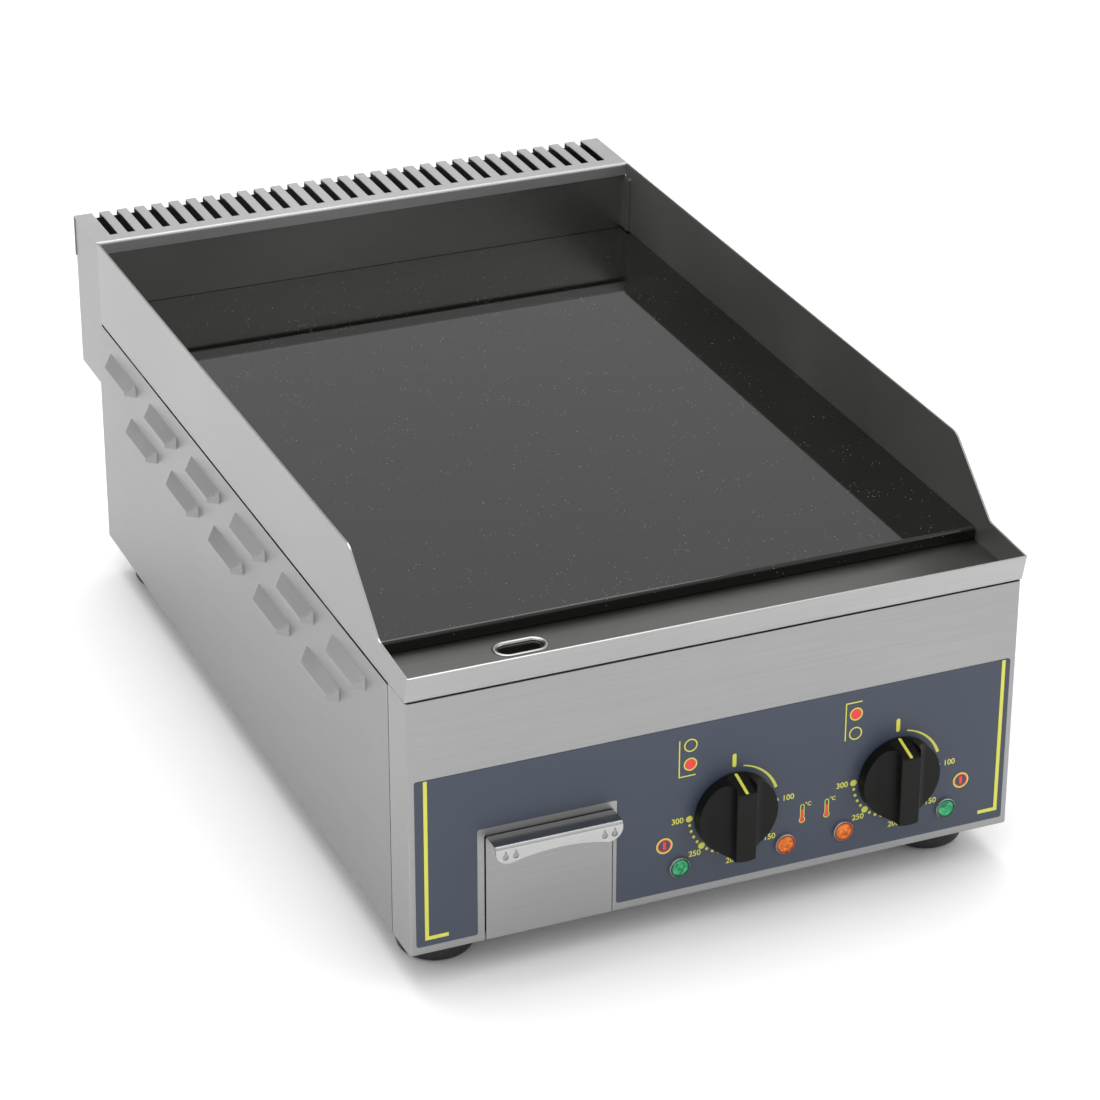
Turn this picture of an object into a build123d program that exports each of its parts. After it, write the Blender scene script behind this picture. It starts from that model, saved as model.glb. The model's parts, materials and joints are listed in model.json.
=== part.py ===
"""Counter-top electric griddle with two cooking zones and a front grease drawer.

Millimetres, +Z up.  The origin is the centre of the bounding box on the surface the feet
stand on.  The front faces -Y, so the left knob is at -X.  "Setback" always means a distance
behind the front rim of the splash tray.
"""

import os

from build123d import *

os.makedirs("parts", exist_ok=True)

# ---------------------------------------------------------------- driving dimensions
width = 400.0  # across the splash guards
depth = 650.0  # front rim to the back of the flue
height = 255.5  # floor to the top of the guards

sheet = 1.0  # casing sheet
tray_sheet = 1.2  # splash tray sheet
bend = 2.0  # outer bend radius of the folded sheets
fit_gap = 0.3  # clearance between neighbouring casings

foot_height = 26.0
foot_radius = 24.0
body_bottom = 25.0
tray_floor = 195.0  # underside of the tray
rim_top = 213.0
plate_top = 204.5
plate_thickness = 8.2
plate_setback = 62.0
notch_height = 145.0  # underside of the overhanging flue

panel_setback = 4.5  # front panel, under the leaning rim
side_setback = 33.8  # where the side sheet takes over from the panel's flange
body_setback = 605.7  # back panel
flue_setback = 593.0  # front of the rear cover
guard_slope_top = 93.0
guard_slope_foot = 45.5
guard_foot_height = 215.5

knob_x = (9.3, 119.3)
knob_z = 78.0
knob_radius = 26.0
knob_length = 18.7
knob_gap = 1.0
overlay_thickness = 0.4
spindle_radius = 3.0
running_gap = 0.06  # radial, spindle in its neck
lamp_dx = 35.3
lamp_dz = -31.7

drawer_x = -110.5  # middle of the drawer
drawer_opening = 82.2
drawer_top = 96.0
drawer_length = 262.0
drawer_width = 78.0
handle_reach = 14.5
spout_x = -113.5
spout_setback = 41.3

slot_count = 30
slot_pitch = 12.7
slot_width = 5.7
screw_head = 2.2

# ---------------------------------------------------------------- worked out from them
half = width / 2
body_half = half - 0.7
knob_reach = overlay_thickness + knob_gap + knob_length - panel_setback
rim_y = -(depth + screw_head + knob_reach) / 2 + knob_reach
panel_y = rim_y + panel_setback
drawer_left = drawer_x - drawer_opening / 2
drawer_right = drawer_x + drawer_opening / 2
zone_legs = (100.0, 345.0)  # setback of the first element leg of each zone
leg_pitch = 40.0
plate_under = plate_top - plate_thickness


def slab(x, y, z, mode=Mode.ADD):
    """Box between two limits on each axis, y given as setbacks."""
    middle = ((x[0] + x[1]) / 2, rim_y + (y[0] + y[1]) / 2, (z[0] + z[1]) / 2)
    with Locations(middle):
        Box(x[1] - x[0], y[1] - y[0], z[1] - z[0], mode=mode)


def rod(x, setback, z_low, z_high, radius, mode=Mode.ADD):
    """Upright round bar."""
    with Locations((x, rim_y + setback, (z_low + z_high) / 2)):
        Cylinder(radius, z_high - z_low, mode=mode)


def bar_along_y(x, z, front, rear, radius, mode=Mode.ADD):
    """Round bar lying front to back between two setbacks."""
    with Locations((x, rim_y + (front + rear) / 2, z)):
        Cylinder(radius, rear - front, rotation=(90, 0, 0), mode=mode)


def finish(piece, name):
    """Label a sub-part and write it."""
    piece.part.label = name
    export_step(piece.part, f"parts/{name}.step")


def setback_points(points):
    """(setback, height) pairs as points of the YZ plane."""
    return [(rim_y + setback, z) for setback, z in points]


# ---------------------------------------------------------------- feet and base
foot_places = [
    (x, setback) for setback in (50.0, 572.0) for x in (-166.0, 166.0)
]
foot_names = ["front_left_foot", "front_right_foot", "rear_left_foot", "rear_right_foot"]

for foot_name, (foot_x, foot_setback) in zip(foot_names, foot_places):
    with BuildPart() as foot:
        rod(foot_x, foot_setback, 0, foot_height, foot_radius)
        fillet(foot.edges().group_by(Axis.Z)[0], radius=6)
        fillet(foot.edges().group_by(Axis.Z)[-1], radius=1.5)
        rod(foot_x, foot_setback, 0, foot_height, 2.7, mode=Mode.SUBTRACT)
        rod(foot_x, foot_setback, 0, 14, 6, mode=Mode.SUBTRACT)
    finish(foot, foot_name)

with BuildPart() as foot_screws:
    for foot_x, foot_setback in foot_places:
        rod(foot_x, foot_setback, 10.4, 14, 4.6)
        rod(foot_x, foot_setback, 14, 34, 2.5)
finish(foot_screws, "foot_screws")

with BuildPart() as foot_nuts:
    for foot_x, foot_setback in foot_places:
        with BuildSketch(Plane.XY.offset(foot_height + sheet)):
            with Locations((foot_x, rim_y + foot_setback)):
                RegularPolygon(radius=4.6, side_count=6)
                Circle(2.55, mode=Mode.SUBTRACT)
        extrude(amount=4)
finish(foot_nuts, "foot_nuts")

with BuildPart() as base_plate:
    slab((-body_half + 1.3, body_half - 1.3), (8, 603), (foot_height, foot_height + sheet))
    with BuildSketch(Plane.XY.offset(foot_height)):
        with Locations((40, rim_y + 330)):
            with GridLocations(26, 90, 9, 4):
                SlotOverall(60, 8, rotation=90)
    extrude(amount=sheet, mode=Mode.SUBTRACT)
    for foot_x, foot_setback in foot_places:
        rod(foot_x, foot_setback, foot_height, foot_height + sheet, 2.7, mode=Mode.SUBTRACT)
finish(base_plate, "base_plate")

# ---------------------------------------------------------------- sides
louvre_length = 58.0
louvre_reach = 6.5
louvre_height = 10.0
louvre_pitch = 89.6
louvre_rows = (  # (setback of the rearmost louvre, height of the lower edge, count)
    (548.0, 169.5, 6),
    (505.0, 138.5, 5),
)


def build_side(hand):
    """Side sheet with its louvres and inward flanges; hand is -1 on the left."""
    outer = hand * body_half
    inner = hand * (body_half - sheet)
    with BuildPart() as side:
        with BuildSketch(Plane.YZ.offset(min(outer, inner))) as outline:
            with BuildLine():
                Polyline(
                    *setback_points(
                        [
                            (side_setback, body_bottom),
                            (body_setback, body_bottom),
                            (body_setback, notch_height),
                            (depth - 1.2, notch_height),
                            (depth - 1.2, height - 1.6),
                            (flue_setback + 1.2, height - 1.6),
                            (flue_setback + 1.2, tray_floor - 2.2),
                            (side_setback, tray_floor - 2.2),
                        ]
                    ),
                    close=True,
                )
            make_face()
            fillet(outline.vertices().group_by(Axis.Y)[-1], radius=1.5)
        extrude(amount=sheet)
        for rear, low, count in louvre_rows:
            for step in range(count):
                middle = rear - step * louvre_pitch
                reach = louvre_length / 2
                x_faces = sorted((inner - hand * 0.5, outer + hand * 0.5))
                slab(
                    x_faces,
                    (middle - reach + 3, middle + reach - 3),
                    (low, low + louvre_height - 1.5),
                    mode=Mode.SUBTRACT,
                )
        # flanges: bottom, rear of the body, rear of the flue, and the tab behind the panel
        edge = sorted((inner, hand * (body_half - 7.8)))
        slab(edge, (36, 603), (body_bottom, body_bottom + sheet))
        edge = sorted((inner, hand * (body_half - 13)))
        slab(edge, (body_setback - 2.1, body_setback - 1.1), (30, notch_height - 2))
        slab(edge, (depth - 3.4, depth - 2.4), (notch_height + 4, height - 12))
        edge = sorted((inner, hand * (body_half - 2)))
        slab(edge, (14, 52), (40, 180))
    return side


def build_hood(hand, middle, low):
    """One pressed louvre: a sloping flap with closed ends, open below."""
    face = hand * (body_half - 0.2)
    lip = hand * (body_half + louvre_reach)
    thickness = 0.9
    with BuildPart() as hood:
        for x, length, top in ((face, louvre_length, louvre_height), (lip, louvre_length - 12, 2.6)):
            with BuildSketch(Plane.YZ.offset(x)):
                with Locations((rim_y + middle, low + top / 2)):
                    Rectangle(length, top)
        loft()
        ridge = hood.edges().filter_by(
            lambda edge: abs(edge.center().X) > abs(face) + 0.1 and edge.center().Z > low + 0.1
        )
        fillet(ridge, radius=1.4)
        for x, length, top in (
            (face - hand * 0.5, louvre_length - 2, louvre_height - 1.0),
            (lip - hand * thickness, louvre_length - 15, 1.6),
        ):
            with BuildSketch(Plane.YZ.offset(x)):
                with Locations((rim_y + middle, low + top / 2 - 0.5)):
                    Rectangle(length, top + 1)
        loft(mode=Mode.SUBTRACT)
    return hood


for side_name, hand in (("left_side", -1), ("right_side", 1)):
    bare_side = build_side(hand)
    hoods = [
        build_hood(hand, rear - step * louvre_pitch, low).part
        for rear, low, count in louvre_rows
        for step in range(count)
    ]
    with BuildPart() as side_sheet:
        add(bare_side.part)
        for hood_part in hoods:
            add(hood_part)
    finish(side_sheet, side_name)

# ---------------------------------------------------------------- front panel and overlay
nut_clearance = 9.0
neck_radius = 5.0
lamp_radius = 5.0
lamp_places = [
    (x + hand * lamp_dx, knob_z + lamp_dz) for x in knob_x for hand in (-1, 1)
]

with BuildPart() as front_panel:
    with BuildSketch(Plane.XY.offset(body_bottom)):
        with BuildLine():
            FilletPolyline(
                (-body_half, rim_y + side_setback - 0.6),
                (-body_half, panel_y),
                (body_half, panel_y),
                (body_half, rim_y + side_setback - 0.6),
                radius=bend,
            )
            offset(amount=sheet, side=Side.LEFT)
        make_face()
    extrude(amount=tray_floor - 0.5 - body_bottom)
    slab((-190, 190), (panel_setback + 0.5, 18), (body_bottom, body_bottom + sheet))
    # drawer opening, open at the bottom edge
    slab(
        (drawer_left, drawer_right),
        (0, 20),
        (body_bottom - 1, drawer_top + 0.4),
        mode=Mode.SUBTRACT,
    )
    for x in knob_x:
        bar_along_y(x, knob_z, 2, 8, neck_radius + 0.2, mode=Mode.SUBTRACT)
    for x, z in lamp_places:
        bar_along_y(x, z, 2, 8, lamp_radius + 0.2, mode=Mode.SUBTRACT)
finish(front_panel, "front_panel")

overlay_low = 30.2
overlay_high = 142.3
cutout = ((-156.3, -66.8), 102.0)  # overlay notch around the drawer: x limits and top

with BuildPart() as control_overlay:
    with BuildSketch(Plane.XZ.offset(-panel_y)) as label:
        with BuildLine():
            Polyline(
                (-half + 5, overlay_low),
                (cutout[0][0], overlay_low),
                (cutout[0][0], cutout[1]),
                (cutout[0][1], cutout[1]),
                (cutout[0][1], overlay_low),
                (half - 5, overlay_low),
                (half - 5, overlay_high),
                (-half + 5, overlay_high),
                close=True,
            )
        make_face()
        fillet(label.vertices().filter_by(lambda corner: corner.Y < overlay_high + 1), radius=1.5)
        for x in knob_x:
            with Locations((x, knob_z)):
                Circle(nut_clearance, mode=Mode.SUBTRACT)
        for x, z in lamp_places:
            with Locations((x, z)):
                Circle(lamp_radius + 0.3, mode=Mode.SUBTRACT)
    extrude(amount=overlay_thickness)
finish(control_overlay, "control_overlay")

# ---------------------------------------------------------------- splash tray
floor_top = tray_floor + tray_sheet
guard_outline = [
    (panel_setback, tray_floor),
    (0, rim_top),
    (guard_slope_foot, guard_foot_height),
    (guard_slope_top, height),
    (flue_setback - 0.2, height),
    (flue_setback - 0.2, tray_floor),
]
wall_setback = 597.0
spout_throat = (29.0, 13.0)

with BuildPart() as splash_tray:
    # front rim and gutter floor, one folded strip
    with BuildSketch(Plane.YZ.offset(-half)):
        with BuildLine():
            FilletPolyline(
                *setback_points([(0, rim_top), (panel_setback, tray_floor), (200, tray_floor)]),
                radius=bend,
            )
            offset(amount=tray_sheet, side=Side.LEFT)
        make_face()
    extrude(amount=width)
    # guards
    for x in (-half, half - tray_sheet):
        with BuildSketch(Plane.YZ.offset(x)) as guard:
            with BuildLine():
                Polyline(*setback_points(guard_outline), close=True)
            make_face()
            corner = guard.vertices().sort_by_distance((rim_y + guard_slope_top, height))[0]
            fillet(corner, radius=12)
            corner = guard.vertices().sort_by_distance((rim_y + guard_slope_foot, guard_foot_height))[0]
            fillet(corner, radius=8)
            corner = guard.vertices().sort_by_distance((rim_y + panel_setback, tray_floor))[0]
            fillet(corner, radius=bend)
        extrude(amount=tray_sheet)
    # rest of the floor, and the opening that the plate covers
    inner_x = (-half + 0.5, half - 0.5)
    slab(inner_x, (190, flue_setback - 0.2), (tray_floor, floor_top))
    slab((-half + 2.0, half - 2.0), (590, wall_setback + 1), (tray_floor, floor_top))
    slab((-185, 185), (76, 586), (tray_floor - 1, floor_top + 1), mode=Mode.SUBTRACT)
    # back wall with its welded tabs
    slab((-half + 2.2, half - 2.2), (wall_setback, wall_setback + tray_sheet), (tray_floor, height - 3))
    for hand in (-1, 1):
        tab = sorted((hand * (half - 0.8), hand * (half - 2.2)))
        slab(tab, (584, flue_setback - 0.2), (plate_top + 1, height - 10))
        tab = sorted((hand * (half - 1.9), hand * (half - 3.1)))
        slab(tab, (584, wall_setback + 0.5), (plate_top + 1, height - 10))
    # drawn collar and throat of the drain
    with BuildSketch(Plane.XY.offset(tray_floor - 4)):
        with Locations((spout_x, rim_y + spout_setback)):
            SlotOverall(spout_throat[0] + 2.4, spout_throat[1] + 2.4)
    extrude(amount=4.2)
    with BuildSketch(Plane.XY.offset(tray_floor - 5)):
        with Locations((spout_x, rim_y + spout_setback)):
            SlotOverall(*spout_throat)
    extrude(amount=8, mode=Mode.SUBTRACT)
    throat = splash_tray.edges().filter_by_position(Axis.Z, floor_top - 0.01, floor_top + 0.01)
    throat = throat.filter_by(
        lambda edge: abs(edge.center().X - spout_x) < 16
        and abs(edge.center().Y - rim_y - spout_setback) < 8
    )
    fillet(throat, radius=3.0)
    # rounded front corners
    corners = splash_tray.edges().filter_by(
        lambda edge: abs(abs(edge.center().X) - half) < 0.01
        and edge.center().Y < rim_y + panel_setback
        and tray_floor + 4 < edge.center().Z < rim_top - 1
    )
    fillet(corners, radius=1.1)
finish(splash_tray, "splash_tray")

with BuildPart() as drain_spout:
    with BuildSketch(Plane.XY.offset(92)):
        with Locations((spout_x, rim_y + spout_setback)):
            SlotOverall(spout_throat[0] + 4.6, spout_throat[1] + 4.6)
            SlotOverall(spout_throat[0] + 2.6, spout_throat[1] + 2.6, mode=Mode.SUBTRACT)
    extrude(amount=tray_floor - 92)
finish(drain_spout, "drain_spout")

with BuildPart() as tray_brackets:
    for hand in (-1, 1):
        wall = sorted((hand * (body_half - sheet), hand * (body_half - 2 * sheet)))
        shelf = sorted((hand * (body_half - sheet), hand * (body_half - 16)))
        for middle in (140, 520):
            slab(wall, (middle - 20, middle + 20), (158, tray_floor))
            slab(shelf, (middle - 20, middle + 20), (tray_floor - sheet, tray_floor))
finish(tray_brackets, "tray_brackets")

# ---------------------------------------------------------------- rear cover and back panel
with BuildPart() as rear_cover:
    with BuildSketch(Plane.YZ.offset(-half)):
        with BuildLine():
            FilletPolyline(
                *setback_points(
                    [
                        (flue_setback, height - 9),
                        (flue_setback, height),
                        (depth, height),
                        (depth, height - 30),
                    ]
                ),
                radius=bend,
            )
            offset(amount=sheet, side=Side.RIGHT)
        make_face()
    extrude(amount=width)
    slot_front = flue_setback + 11.5
    slot_length = depth + 4 - slot_front
    with BuildSketch(Plane.XY.offset(height - 15)):
        with Locations((0, rim_y + slot_front + slot_length / 2)):
            with GridLocations(slot_pitch, 0, slot_count, 1):
                Rectangle(slot_width, slot_length)
    extrude(amount=20, mode=Mode.SUBTRACT)
    with Locations(*[(x, rim_y + depth, height - 22) for x in (-180, 180)]):
        Cylinder(2.2, 6, rotation=(90, 0, 0), mode=Mode.SUBTRACT)
finish(rear_cover, "rear_cover")

gland_x, gland_z = 140.0, 62.0
bond_x, bond_z = 176.0, 45.0

with BuildPart() as back_panel:
    with BuildSketch(Plane.YZ.offset(-body_half + 1.4)):
        with BuildLine():
            FilletPolyline(
                *setback_points(
                    [
                        (body_setback, foot_height + sheet + 0.2),
                        (body_setback, notch_height),
                        (depth - 1.3, notch_height),
                        (depth - 1.3, height - 4),
                    ]
                ),
                radius=1.6,
            )
            offset(amount=sheet, side=Side.LEFT)
        make_face()
    extrude(amount=2 * (body_half - 1.4))
    bar_along_y(gland_x, gland_z, body_setback - 3, body_setback + 1, 10.2, mode=Mode.SUBTRACT)
    bar_along_y(bond_x, bond_z, body_setback - 3, body_setback + 1, 3.1, mode=Mode.SUBTRACT)
    for x in (-192, 192):
        for z in (40, 130):
            bar_along_y(x, z, body_setback - 3, body_setback + 1, 2.1, mode=Mode.SUBTRACT)
    for x in (-180, 180):
        bar_along_y(x, height - 22, depth - 5, depth + 1, 2.1, mode=Mode.SUBTRACT)
finish(back_panel, "back_panel")

with BuildPart() as back_screws:
    for x in (-192, 192):
        for z in (40, 130):
            bar_along_y(x, z, body_setback - 1, body_setback, 2.0)
            bar_along_y(x, z, body_setback, body_setback + screw_head, 3.8)
finish(back_screws, "back_screws")

with BuildPart() as cover_screws:
    for x in (-180, 180):
        bar_along_y(x, height - 22, depth - 6, depth, 2.0)
        bar_along_y(x, height - 22, depth, depth + screw_head, 3.8)
finish(cover_screws, "cover_screws")

# ---------------------------------------------------------------- griddle plate
plate_rear = wall_setback - 0.6
plate_half = half - tray_sheet - 0.5
stud_places = [
    (x, setback)
    for x in (-100.0, 0.0, 100.0)
    for setback in (zone_legs[0] + 20, zone_legs[0] + 180, zone_legs[1] + 20, zone_legs[1] + 180)
]

with BuildPart() as griddle_plate:
    slab((-plate_half, plate_half), (plate_setback, plate_rear), (plate_under + 0.1, plate_top))
    front_edge = griddle_plate.edges().filter_by(Axis.X).group_by(Axis.Z)[-1].sort_by(Axis.Y)[0]
    fillet(front_edge, radius=2.5)
    for x, setback in stud_places:
        rod(x, setback, plate_under, plate_under + 2.6, 3.05, mode=Mode.SUBTRACT)
finish(griddle_plate, "griddle_plate")

with BuildPart() as plate_studs:
    for x, setback in stud_places:
        rod(x, setback, 176, plate_under + 2.5, 3)
finish(plate_studs, "plate_studs")

element_radius = 4.0
element_z = plate_under - element_radius - 0.2
clamp_low = element_z - element_radius - 2.2
with BuildPart() as clamp_bars:
    for start in zone_legs:
        for x in (-100.0, 0.0, 100.0):
            slab((x - 10, x + 10), (start - 8, start + 5 * leg_pitch + 8), (clamp_low, clamp_low + 2))
            for offset_to_stud in (20, 180):
                rod(x, start + offset_to_stud, clamp_low - 1, clamp_low + 3, 3.2, mode=Mode.SUBTRACT)
finish(clamp_bars, "clamp_bars")

with BuildPart() as clamp_nuts:
    with BuildSketch(Plane.XY.offset(clamp_low - 5)):
        with Locations(*[(x, rim_y + setback) for x, setback in stud_places]):
            RegularPolygon(radius=5.5, side_count=6)
            Circle(3.05, mode=Mode.SUBTRACT)
    extrude(amount=5)
finish(clamp_nuts, "clamp_nuts")


def tube(points, radius, corner):
    """Round bar bent through the points."""
    with BuildPart() as bent:
        with BuildLine() as route:
            FilletPolyline(*points, radius=corner)
        start = Vector(*points[0])
        heading = Vector(*points[1]) - start
        with BuildSketch(Plane(origin=start, z_dir=heading)):
            Circle(radius)
        sweep(path=route.wires()[0])
    return bent


def element_route(start):
    """Serpentine of six legs with both ends turned down on the left."""
    left, right = -160.0, 165.0
    points = [(-178.0, rim_y + start, 152.0), (-178.0, rim_y + start, element_z)]
    for leg in range(6):
        y = rim_y + start + leg * leg_pitch
        if leg % 2 == 0:
            points += [(left, y, element_z)] if leg else []
            points += [(right, y, element_z)]
        else:
            points += [(right, y, element_z)]
            points += [(left, y, element_z)] if leg < 5 else []
    last_y = rim_y + start + 5 * leg_pitch
    points += [(-178.0, last_y, element_z), (-178.0, last_y, 152.0)]
    return points


for zone, start in zip(("front", "rear"), zone_legs):
    element = tube(element_route(start), element_radius, 13)
    finish(element, f"{zone}_element")

# ---------------------------------------------------------------- thermostat probes
probe_z = plate_under - 3.3
probe_depth = 180.0
gap_setback = 60.0
for zone, target_x, bulb_setback in (
    ("front", knob_x[0], zone_legs[0] + 100),
    ("rear", knob_x[1], zone_legs[1] + 100),
):
    y = rim_y + bulb_setback
    bulb_end = 38.0
    drop_x = target_x + 6
    with BuildPart() as probe:
        with Locations((bulb_end + 30, y, probe_z)):
            Cylinder(3, 60, rotation=(0, 90, 0))
        fillet(probe.edges(), radius=1.2)
        with BuildLine() as capillary:
            FilletPolyline(
                (bulb_end + 1, y, probe_z),
                (bulb_end - 14, y, probe_z),
                (bulb_end - 14, y, probe_depth),
                (bulb_end - 14, rim_y + gap_setback, probe_depth),
                (bulb_end - 14, rim_y + gap_setback, knob_z + 24),
                (drop_x, rim_y + gap_setback, knob_z + 24),
                (drop_x, rim_y + gap_setback, knob_z + 8),
                (drop_x, rim_y + 39.2, knob_z + 8),
                radius=3,
            )
        with BuildSketch(Plane(origin=(bulb_end + 1, y, probe_z), z_dir=(-1, 0, 0))):
            Circle(0.8)
        sweep(path=capillary.wires()[0])
    finish(probe, f"{zone}_zone_probe")

# ---------------------------------------------------------------- heat shield
shield_z = 158.0
shield_x = (-150.0, 185.0)
spacer_places = [(x, setback) for x in (-141.0, 176.0) for setback in (71.0, 591.0)]
with BuildPart() as heat_shield:
    slab(shield_x, (65, 597), (shield_z, shield_z + sheet))
    for x in (shield_x[0], shield_x[1] - sheet):
        slab((x, x + sheet), (65, 597), (shield_z, shield_z + 14))
    for x, setback in spacer_places:
        rod(x, setback, shield_z - 1, shield_z + 2, 2.2, mode=Mode.SUBTRACT)
finish(heat_shield, "heat_shield")

with BuildPart() as shield_spacers:
    for x, setback in spacer_places:
        rod(x, setback, shield_z + sheet, tray_floor, 4)
        rod(x, setback, shield_z - 5, shield_z + sheet, 2.1)
        rod(x, setback, shield_z - 3.2, shield_z, 4.2)
finish(shield_spacers, "shield_spacers")

with BuildPart() as insulation:
    slab((shield_x[0] + 17, shield_x[1] - 17), (82, 580), (shield_z + sheet, shield_z + 14))
    fillet(insulation.edges().filter_by(Axis.Z), radius=6)
finish(insulation, "insulation")

# ---------------------------------------------------------------- controls
panel_inner = panel_setback + sheet
for zone, x in zip(("front", "rear"), knob_x):
    with BuildPart() as thermostat:
        slab((x - 25, x + 25), (panel_inner, panel_inner + 1.5), (knob_z - 13, knob_z + 15))
        slab((x - 21, x + 21), (panel_inner + 1.4, panel_inner + 33.5), (knob_z - 16, knob_z + 16))
        bar_along_y(x, knob_z, panel_setback - 2.2, panel_inner + 2, neck_radius)
        for blade in (-13, -4, 5, 13):
            slab(
                (x + blade - 2.4, x + blade + 2.4),
                (panel_inner + 33, panel_inner + 42),
                (knob_z - 12, knob_z - 11.2),
            )
        bore = spindle_radius + running_gap
        bar_along_y(x, knob_z, panel_setback - 3, panel_inner + 24, bore, mode=Mode.SUBTRACT)
    finish(thermostat, f"{zone}_zone_thermostat")

with BuildPart() as spindle_nuts:
    for x in knob_x:
        with BuildSketch(Plane(origin=(x, panel_y, knob_z), x_dir=(1, 0, 0), z_dir=(0, -1, 0))):
            RegularPolygon(radius=7.6, side_count=6)
            Circle(neck_radius + 0.05, mode=Mode.SUBTRACT)
        extrude(amount=1.8)
finish(spindle_nuts, "spindle_nuts")

knob_base = panel_setback - overlay_thickness - knob_gap
grip_width = 13.4
skirt_height = 7.5
scoop = 9.5
for zone, x in zip(("front", "rear"), knob_x):
    with BuildPart() as spindle:
        bar_along_y(x, knob_z, knob_base - 14, panel_inner + 23, spindle_radius)
        with Locations((x, rim_y + knob_base - 8, knob_z + spindle_radius)):
            Box(8, 12.2, 1.6, mode=Mode.SUBTRACT)
    finish(spindle, f"{zone}_knob_spindle")

    seat = Plane(origin=(x, rim_y + knob_base, knob_z), x_dir=(1, 0, 0), z_dir=(0, -1, 0))
    skirt_y = rim_y + knob_base - skirt_height
    face_y = rim_y + knob_base - knob_length
    grip = grip_width / 2
    with BuildPart() as knob:
        # section across the grip, with its scooped finger hollows
        with BuildSketch(Plane.XY.offset(knob_z - knob_radius)):
            with BuildLine():
                Polyline(
                    (x - grip, skirt_y - scoop),
                    (x - grip, face_y),
                    (x + grip, face_y),
                    (x + grip, skirt_y - scoop),
                )
                RadiusArc((x + grip, skirt_y - scoop), (x + grip + scoop, skirt_y), scoop)
                Polyline(
                    (x + grip + scoop, skirt_y),
                    (x + knob_radius, skirt_y),
                    (x + knob_radius, skirt_y + skirt_height),
                    (x - knob_radius, skirt_y + skirt_height),
                    (x - knob_radius, skirt_y),
                    (x - grip - scoop, skirt_y),
                )
                RadiusArc((x - grip - scoop, skirt_y), (x - grip, skirt_y - scoop), scoop)
            make_face()
        extrude(amount=2 * knob_radius)
        with BuildSketch(seat):
            Circle(knob_radius)
        extrude(amount=knob_length + 1, mode=Mode.INTERSECT)
        # sloping end that carries the pointer
        with BuildSketch(Plane.YZ.offset(x - grip)):
            with BuildLine():
                Polyline(
                    *setback_points(
                        [
                            (knob_base - 0.5, knob_z + knob_radius + 0.1),
                            (knob_base - knob_length - 1, knob_z + knob_radius - 5.6),
                            (knob_base - knob_length - 1, knob_z + knob_radius + 3),
                            (knob_base - 0.5, knob_z + knob_radius + 3),
                        ]
                    ),
                    close=True,
                )
            make_face()
        extrude(amount=grip_width, mode=Mode.SUBTRACT)
        fillet(knob.faces().sort_by(Axis.Y)[0].edges(), radius=0.8)
        # underside recess over the nut, and the spindle bore
        with BuildSketch(seat):
            Circle(10.5)
        extrude(amount=5, mode=Mode.SUBTRACT)
        with BuildSketch(seat):
            Circle(spindle_radius + 0.05)
        extrude(amount=14.2, mode=Mode.SUBTRACT)
    finish(knob, f"{zone}_zone_knob")

overlay_face = panel_setback - overlay_thickness
with BuildPart() as lamp_bodies:
    for x, z in lamp_places:
        bar_along_y(x, z, overlay_face - 1.6, overlay_face, 6.5)
        bar_along_y(x, z, overlay_face - 0.2, panel_inner + 18, lamp_radius)
        bar_along_y(x, z, overlay_face - 2, overlay_face + 8, 4.5, mode=Mode.SUBTRACT)
        for blade in (-2, 2):
            slab(
                (x + blade - 0.4, x + blade + 0.4),
                (panel_inner + 17, panel_inner + 25),
                (z - 2.4, z + 2.4),
            )
finish(lamp_bodies, "lamp_bodies")

for colour, lamps in (
    ("green", (lamp_places[0], lamp_places[3])),
    ("amber", (lamp_places[1], lamp_places[2])),
):
    with BuildPart() as lenses:
        for x, z in lamps:
            bar_along_y(x, z, overlay_face - 2.2, overlay_face + 5, 4.4)
        fillet(lenses.edges().group_by(Axis.Y)[0], radius=1.2)
    finish(lenses, f"{colour}_lamp_lenses")

with BuildPart() as lamp_nuts:
    for x, z in lamp_places:
        with BuildSketch(Plane(origin=(x, rim_y + panel_inner, z), x_dir=(-1, 0, 0), z_dir=(0, 1, 0))):
            RegularPolygon(radius=7.5, side_count=6)
            Circle(lamp_radius + 0.05, mode=Mode.SUBTRACT)
        extrude(amount=2.5)
finish(lamp_nuts, "lamp_nuts")

# ---------------------------------------------------------------- mains side
block_setback = 480.0
with BuildPart() as terminal_block:
    slab((100, 168), (block_setback, block_setback + 26), (27, 40))
    slab((100, 168), (block_setback + 7, block_setback + 19), (40, 52))
    for pole in range(5):
        pole_x = 107 + pole * 13.5
        rod(pole_x, block_setback + 13, 46, 53, 2.6, mode=Mode.SUBTRACT)
        slab(
            (pole_x - 3.5, pole_x + 3.5),
            (block_setback - 1, block_setback + 27),
            (36, 41),
            mode=Mode.SUBTRACT,
        )
finish(terminal_block, "terminal_block")

with BuildPart() as terminal_screws:
    for pole in range(5):
        pole_x = 107 + pole * 13.5
        rod(pole_x, block_setback + 13, 46, 50.5, 2.4)
        slab(
            (pole_x - 2.6, pole_x + 2.6),
            (block_setback + 1, block_setback + 25),
            (36, 38),
        )
finish(terminal_screws, "terminal_screws")

with BuildPart() as cutout_bracket:
    slab((40, 90), (block_setback, block_setback + 24), (27, 28))
    slab((40, 90), (block_setback, block_setback + 1), (27, 66))
finish(cutout_bracket, "cutout_bracket")

with BuildPart() as safety_cutout:
    slab((47, 83), (block_setback - 22, block_setback), (34, 62))
    bar_along_y(65, 54, block_setback - 27, block_setback - 21, 3.4)
    for blade in (-10, 10):
        slab(
            (65 + blade - 2.4, 65 + blade + 2.4),
            (block_setback - 31, block_setback - 21),
            (39, 39.8),
        )
finish(safety_cutout, "safety_cutout")

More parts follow.
